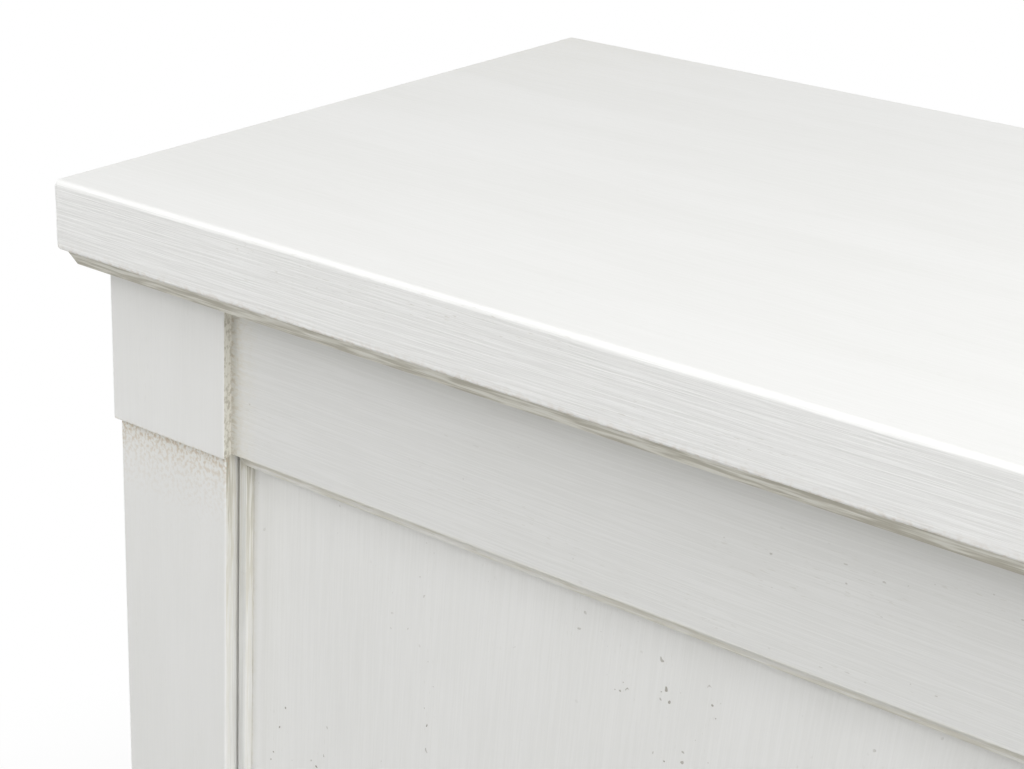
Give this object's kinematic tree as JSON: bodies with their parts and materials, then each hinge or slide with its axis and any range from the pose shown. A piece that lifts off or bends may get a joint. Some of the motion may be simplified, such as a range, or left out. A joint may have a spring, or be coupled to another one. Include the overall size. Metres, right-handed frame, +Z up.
{
  "type": "armoire",
  "caption": "Two-door armoire with a thick overhanging top, corner pilasters, inset doors on knife hinges, a hanging rod and shelves.",
  "frame": {"origin": "on the floor, under the middle of the top board", "axes": "+Z up, +X to the right seen from the front, the doors face -Y"},
  "size_m": [1.3, 0.6, 2],
  "materials": {
    "whitewashed_wood": "brushed white wash with a thin patina, satin",
    "inner_wood": "thin white wash, matt",
    "brass": "satin",
    "aged_knob_brass": "darkened with age, rubbed bright on its crown",
    "steel": "zinc plated",
    "catch_plastic": "matt moulded",
    "glide_plastic": "matt moulded"
  },
  "bodies": {
    "carcass": {"back_bottom_rail": "inner_wood", "back_panel": "inner_wood", "back_top_rail": "inner_wood", "base_block_left": "whitewashed_wood", "base_block_right": "whitewashed_wood", "base_rail": "whitewashed_wood", "capital_block_left": "whitewashed_wood", "capital_block_right": "whitewashed_wood", "cornice_front": "whitewashed_wood", "cornice_left": "whitewashed_wood", "cornice_right": "whitewashed_wood", "door_stops": "inner_wood", "fitting_screws": "steel", "floor_board": "inner_wood", "floor_cleats": "inner_wood", "foot_blocks": "inner_wood", "frieze_rail": "whitewashed_wood", "front_stile_left": "whitewashed_wood", "front_stile_right": "whitewashed_wood", "glides": "glide_plastic", "hanging_rod": "inner_wood", "hat_shelf": "inner_wood", "hinge_frame_plates": "brass", "magnetic_catches": "catch_plastic", "partition": "inner_wood", "pilaster_left": "whitewashed_wood", "pilaster_right": "whitewashed_wood", "rod_battens": "inner_wood", "rod_sockets": "steel", "shelf_1": "inner_wood", "shelf_2": "inner_wood", "shelf_3": "inner_wood", "shelf_4": "inner_wood", "shelf_pins": "brass", "side_bead_left": "whitewashed_wood", "side_bead_right": "whitewashed_wood", "side_bottom_rail_left": "whitewashed_wood", "side_bottom_rail_right": "whitewashed_wood", "side_front_stile_left": "whitewashed_wood", "side_front_stile_right": "whitewashed_wood", "side_panel_left": "whitewashed_wood", "side_panel_right": "whitewashed_wood", "side_rear_stile_left": "whitewashed_wood", "side_rear_stile_right": "whitewashed_wood", "side_top_rail_left": "whitewashed_wood", "side_top_rail_right": "whitewashed_wood", "top_board": "whitewashed_wood", "top_packing_strip": "inner_wood"},
    "door_left": {"door_edging_left": "whitewashed_wood", "door_hinge_plates_left": "brass", "door_knob_left": "aged_knob_brass", "door_panel_left": "whitewashed_wood", "door_screws_left": "steel", "door_strike_left": "steel"},
    "door_right": {"door_edging_right": "whitewashed_wood", "door_hinge_plates_right": "brass", "door_knob_right": "aged_knob_brass", "door_panel_right": "whitewashed_wood", "door_screws_right": "steel", "door_strike_right": "steel"}
  },
  "joints": [
    {"name": "door_left_hinge", "type": "hinge", "parent": "carcass", "child": "door_left", "pos_m": [-0.532, -0.26, 0.98], "axis": [0, 0, -1], "range_deg": [0, 95]},
    {"name": "door_right_hinge", "type": "hinge", "parent": "carcass", "child": "door_right", "pos_m": [0.532, -0.26, 0.98], "axis": [0, 0, 1], "range_deg": [0, 95]}
  ]
}
